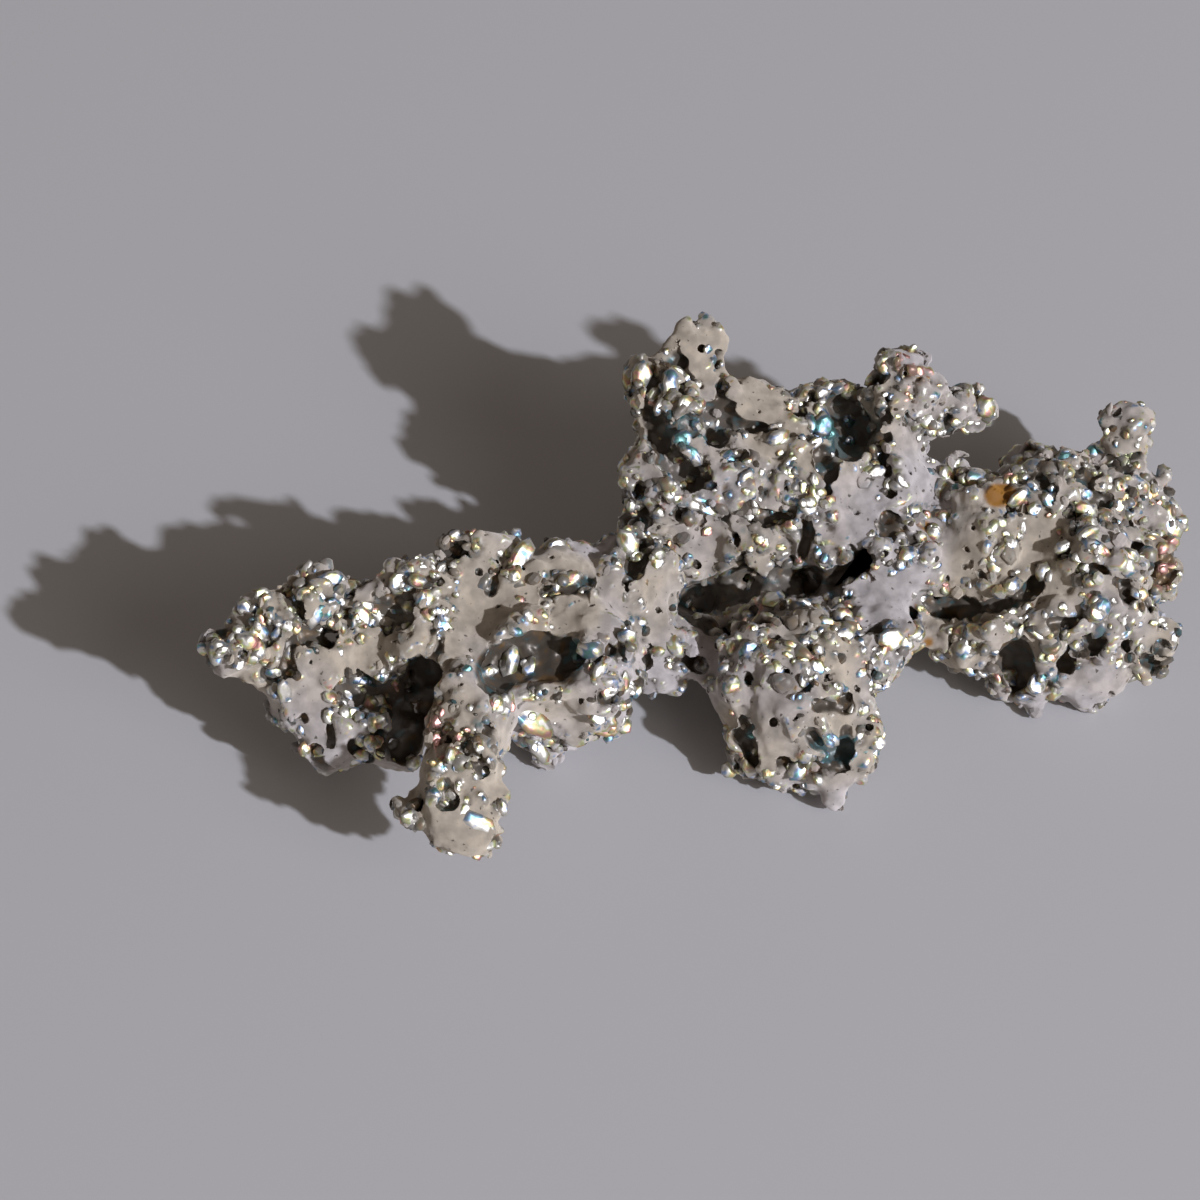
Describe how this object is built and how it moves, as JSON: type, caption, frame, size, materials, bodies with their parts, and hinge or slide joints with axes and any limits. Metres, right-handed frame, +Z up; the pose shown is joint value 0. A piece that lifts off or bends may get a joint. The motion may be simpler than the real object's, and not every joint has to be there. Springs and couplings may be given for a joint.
{
  "type": "native silver nugget",
  "caption": "Small spongy nugget of native silver, low and long, with knobbly lobes and dark clefts; a mineral specimen that lies on a flat surface.",
  "frame": {"origin": "middle of the bounding box, at the level that the nugget rests on", "axes": "+X along the nugget from the tip of its raised arm to its broad lobe, +Y from its front to its back, +Z up"},
  "size_m": [0.0216, 0.013, 0.0058],
  "materials": {
    "native_silver": "native silver, pale and satin on its smooth skin, with many small bright beads, brown-black sulphide in its hollows and clefts, faint colour films and one small ochre stain"
  },
  "bodies": {
    "root": {"silver_nugget": "native_silver"}
  },
  "joints": []
}
